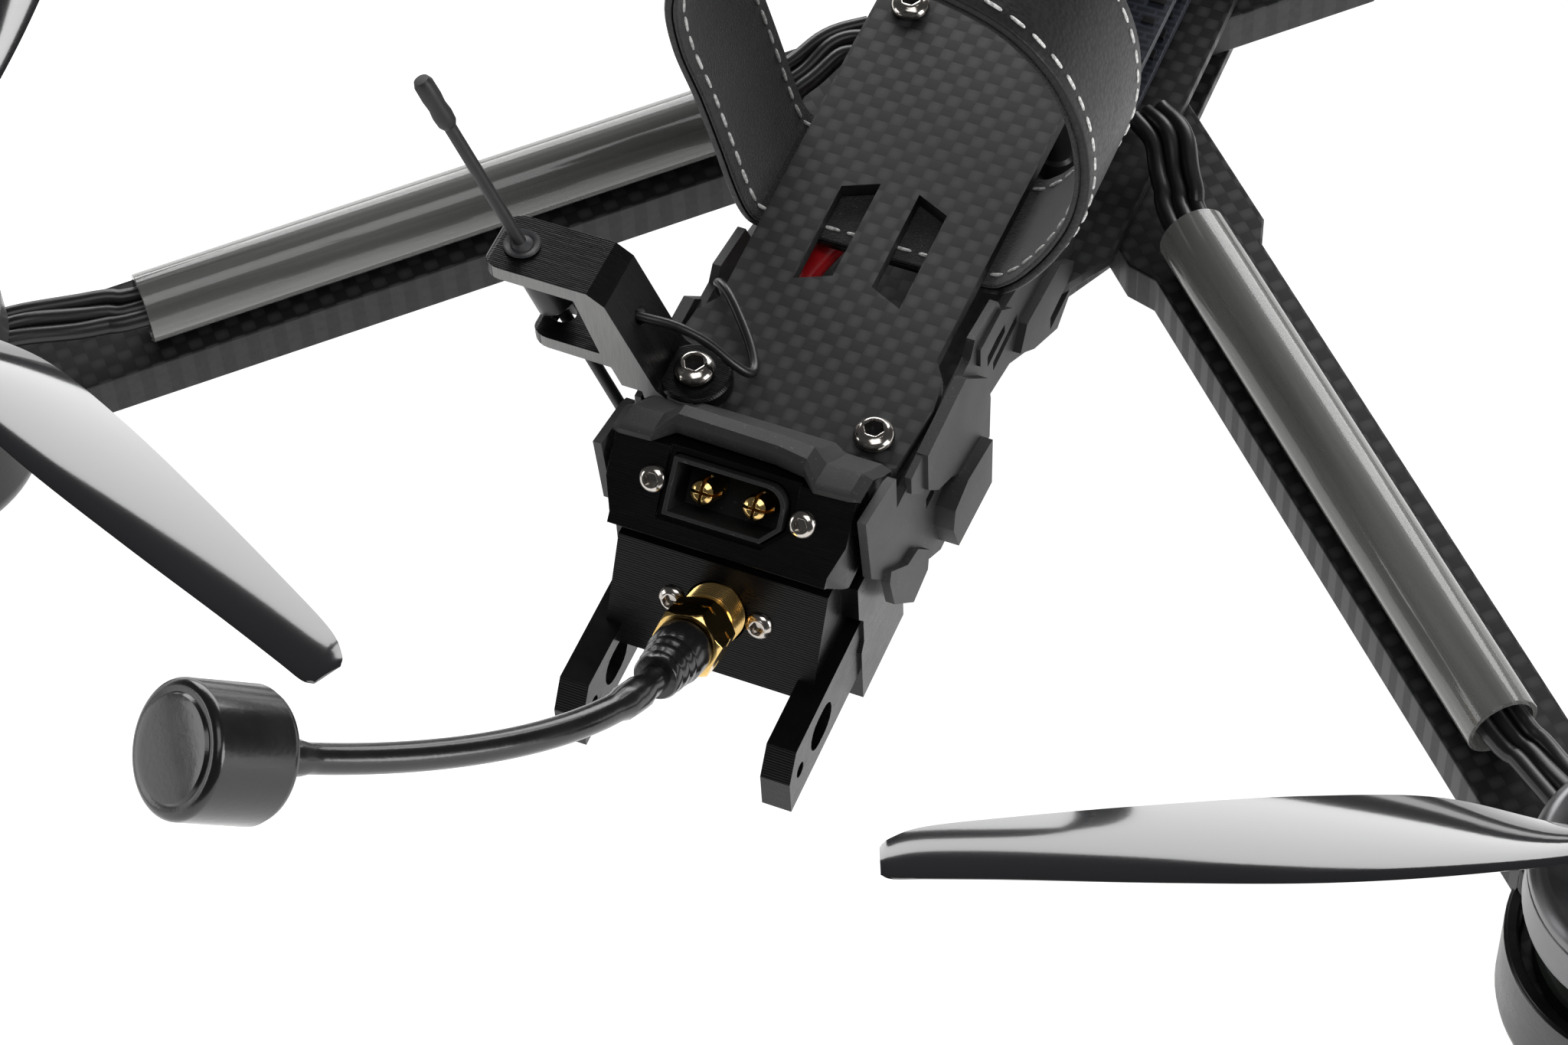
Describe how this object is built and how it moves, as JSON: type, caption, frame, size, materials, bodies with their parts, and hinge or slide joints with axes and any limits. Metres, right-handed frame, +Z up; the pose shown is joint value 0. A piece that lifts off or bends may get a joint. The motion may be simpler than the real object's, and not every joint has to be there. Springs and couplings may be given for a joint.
{
  "type": "quadcopter drone",
  "caption": "Long-range quadcopter with carbon plates and arms, three-blade propellers, a battery strap, a tilting nose camera and a tail plug under a curved antenna.",
  "frame": {"origin": "crossing of the arms' centre lines on the underside of the belly plate", "axes": "+X to the aircraft's right, +Y to its nose, +Z up"},
  "size_m": [0.4032, 0.3878, 0.0935],
  "materials": {
    "carbon": "satin woven carbon fibre",
    "moulded": "matte grained moulding",
    "printed": "printed in fine layers, glossy",
    "foot": "glossy flexible plastic",
    "motor_alloy": "anodised grey, satin",
    "motor_core": "dark windings and plates",
    "propeller": "smoky, glossy",
    "steel": "polished",
    "black_alloy": "black anodised",
    "clear_sleeve": "clear flexible tube",
    "wire_black": "silicone insulation",
    "wire_red": "silicone insulation",
    "gold": "gold plated",
    "strap": "grained, white stitching",
    "board": "solder mask",
    "cable": "satin"
  },
  "bodies": {
    "frame": {"belly_plate": "carbon", "mid_plate": "carbon", "top_plate": "carbon", "arm_rear_right": "carbon", "motor_foot_rear_right": "foot", "motor_base_rear_right": "motor_core", "wire_sleeve_rear_right": "clear_sleeve", "motor_wires_rear_right": "wire_black", "arm_rear_left": "carbon", "motor_foot_rear_left": "foot", "motor_base_rear_left": "motor_core", "wire_sleeve_rear_left": "clear_sleeve", "motor_wires_rear_left": "wire_black", "arm_front_right": "carbon", "motor_foot_front_right": "foot", "motor_base_front_right": "motor_core", "wire_sleeve_front_right": "clear_sleeve", "motor_wires_front_right": "wire_black", "arm_front_left": "carbon", "motor_foot_front_left": "foot", "motor_base_front_left": "motor_core", "wire_sleeve_front_left": "clear_sleeve", "motor_wires_front_left": "wire_black", "standoff_rear_right": "steel", "standoff_rear_left": "steel", "standoff_mid_right": "steel", "standoff_mid_left": "steel", "tail_cap": "moulded", "plug_housing": "printed", "power_plug_shell": "moulded", "power_pin_left": "gold", "power_pin_right": "gold", "antenna_bracket": "printed", "antenna_jack": "gold", "antenna_nut": "gold", "antenna_stalk": "cable", "antenna_head": "printed", "receiver_antenna_mount": "printed", "receiver_antenna": "cable", "side_panel_left": "moulded", "side_panel_right": "moulded", "battery_strap": "strap", "esc_board": "board", "flight_controller": "board", "power_lead_red": "wire_red", "power_lead_black": "wire_black", "camera_cradle": "printed"},
    "rotor_rear_right": {"motor_bell_rear_right": "motor_alloy", "propeller_rear_right": "propeller", "propeller_nut_rear_right": "black_alloy"},
    "rotor_rear_left": {"motor_bell_rear_left": "motor_alloy", "propeller_rear_left": "propeller", "propeller_nut_rear_left": "black_alloy"},
    "rotor_front_right": {"motor_bell_front_right": "motor_alloy", "propeller_front_right": "propeller", "propeller_nut_front_right": "black_alloy"},
    "rotor_front_left": {"motor_bell_front_left": "motor_alloy", "propeller_front_left": "propeller", "propeller_nut_front_left": "black_alloy"},
    "camera": {"camera_body": "black_alloy"}
  },
  "joints": [
    {"name": "spin_rear_right", "type": "hinge", "parent": "frame", "child": "rotor_rear_right", "pos_m": [0.1245, -0.1245, 0], "axis": [0, 0, 1], "continuous": true},
    {"name": "spin_rear_left", "type": "hinge", "parent": "frame", "child": "rotor_rear_left", "pos_m": [-0.1245, -0.1245, 0], "axis": [0, 0, 1], "continuous": true},
    {"name": "spin_front_right", "type": "hinge", "parent": "frame", "child": "rotor_front_right", "pos_m": [0.1245, 0.1245, 0], "axis": [0, 0, 1], "continuous": true},
    {"name": "spin_front_left", "type": "hinge", "parent": "frame", "child": "rotor_front_left", "pos_m": [-0.1245, 0.1245, 0], "axis": [0, 0, 1], "continuous": true},
    {"name": "camera_tilt", "type": "hinge", "parent": "frame", "child": "camera", "pos_m": [0, 0.082, 0.024], "axis": [1, 0, 0], "range_deg": [-10, 35]}
  ]
}
